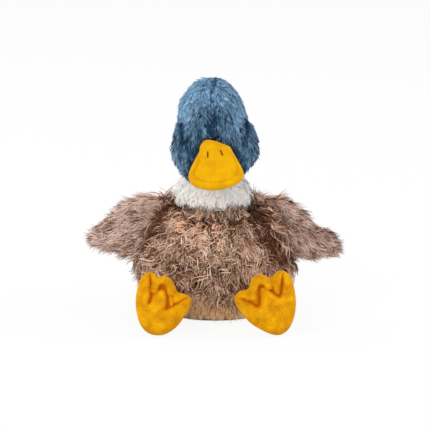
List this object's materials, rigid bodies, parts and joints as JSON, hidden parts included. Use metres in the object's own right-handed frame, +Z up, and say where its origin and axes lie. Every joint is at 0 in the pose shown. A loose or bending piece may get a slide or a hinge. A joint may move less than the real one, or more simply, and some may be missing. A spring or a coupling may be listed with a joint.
{
  "type": "plush duck",
  "caption": "Seated stuffed duck with a shaggy body, a smooth pile head, a quilted bill, wings and webbed feet.",
  "frame": {"origin": "on the floor under the middle of the duck's bounding box", "axes": "+Z up, -Y the way the duck faces, +X towards the duck's own left"},
  "size_m": [0.1962, 0.1654, 0.186],
  "materials": {
    "brown_shag": "long curly pile",
    "beige_plush": "short brushed pile",
    "blue_silk_pile": "short silky pile",
    "white_plush": "short brushed pile",
    "yellow_velour": "fine velour",
    "white_fibre": "loose fibre filling",
    "bean_cloth": "plain weave",
    "black_plastic": "polished",
    "clear_nylon": "moulded",
    "yellow_thread": "twisted thread",
    "brown_thread": "twisted thread"
  },
  "bodies": {
    "body": {"base_panel": "beige_plush", "bean_bag": "bean_cloth", "body_front_cover": "brown_shag", "body_back_cover": "brown_shag", "body_stuffing": "white_fibre", "tail_cover": "brown_shag", "tail_stuffing": "white_fibre"},
    "neck": {"neck_collar": "white_plush", "neck_stuffing": "white_fibre"},
    "head": {"head_left_cover": "blue_silk_pile", "head_right_cover": "blue_silk_pile", "head_stuffing": "white_fibre", "bill_upper": "yellow_velour", "bill_lower": "yellow_velour", "bill_padding": "white_fibre", "bill_topstitch": "yellow_thread", "nostril_stitch_left": "brown_thread", "nostril_stitch_right": "brown_thread", "eye_left": "black_plastic", "eye_right": "black_plastic", "eye_washer_left": "clear_nylon", "eye_washer_right": "clear_nylon"},
    "left_wing": {"wing_front_cover_left": "brown_shag", "wing_back_cover_left": "brown_shag", "wing_padding_left": "white_fibre"},
    "right_wing": {"wing_front_cover_right": "brown_shag", "wing_back_cover_right": "brown_shag", "wing_padding_right": "white_fibre"},
    "left_leg": {"leg_cover_left": "yellow_velour", "leg_stuffing_left": "white_fibre"},
    "right_leg": {"leg_cover_right": "yellow_velour", "leg_stuffing_right": "white_fibre"},
    "left_foot": {"foot_sole_left": "yellow_velour", "foot_upper_left": "yellow_velour", "foot_padding_left": "white_fibre"},
    "right_foot": {"foot_sole_right": "yellow_velour", "foot_upper_right": "yellow_velour", "foot_padding_right": "white_fibre"}
  },
  "joints": [
    {"name": "head_turn", "type": "hinge", "parent": "body", "child": "neck", "pos_m": [0, -0.00102, 0.091], "axis": [0, 0, 1], "range_deg": [-35, 35], "stiffness_Nm_per_rad": 0.05},
    {"name": "head_nod", "type": "hinge", "parent": "neck", "child": "head", "pos_m": [0, -0.00102, 0.091], "axis": [1, 0, 0], "range_deg": [-12, 20], "stiffness_Nm_per_rad": 0.35},
    {"name": "left_wing_swing", "type": "hinge", "parent": "body", "child": "left_wing", "pos_m": [0.04748, 0.00498, 0.0776], "axis": [-0.6161, 0, 0.7877], "range_deg": [-40, 40], "stiffness_Nm_per_rad": 0.02},
    {"name": "right_wing_swing", "type": "hinge", "parent": "body", "child": "right_wing", "pos_m": [-0.04748, 0.00498, 0.0776], "axis": [0.6161, 0, 0.7877], "range_deg": [-40, 40], "stiffness_Nm_per_rad": 0.02},
    {"name": "left_leg_swing", "type": "hinge", "parent": "body", "child": "left_leg", "pos_m": [0.03358, -0.0407, 0.0225], "axis": [0.9848, 0.1736, 0], "range_deg": [-30, 70]},
    {"name": "right_leg_swing", "type": "hinge", "parent": "body", "child": "right_leg", "pos_m": [-0.03358, -0.04069, 0.0225], "axis": [0.9848, -0.1736, 0], "range_deg": [-30, 70]},
    {"name": "left_foot_tilt", "type": "hinge", "parent": "left_leg", "child": "left_foot", "pos_m": [0.03722, -0.06138, 0.0225], "axis": [1, 0, 0], "range_deg": [-20, 20], "stiffness_Nm_per_rad": 0.02},
    {"name": "right_foot_tilt", "type": "hinge", "parent": "right_leg", "child": "right_foot", "pos_m": [-0.03722, -0.06137, 0.0225], "axis": [1, 0, 0], "range_deg": [-20, 20], "stiffness_Nm_per_rad": 0.02}
  ]
}
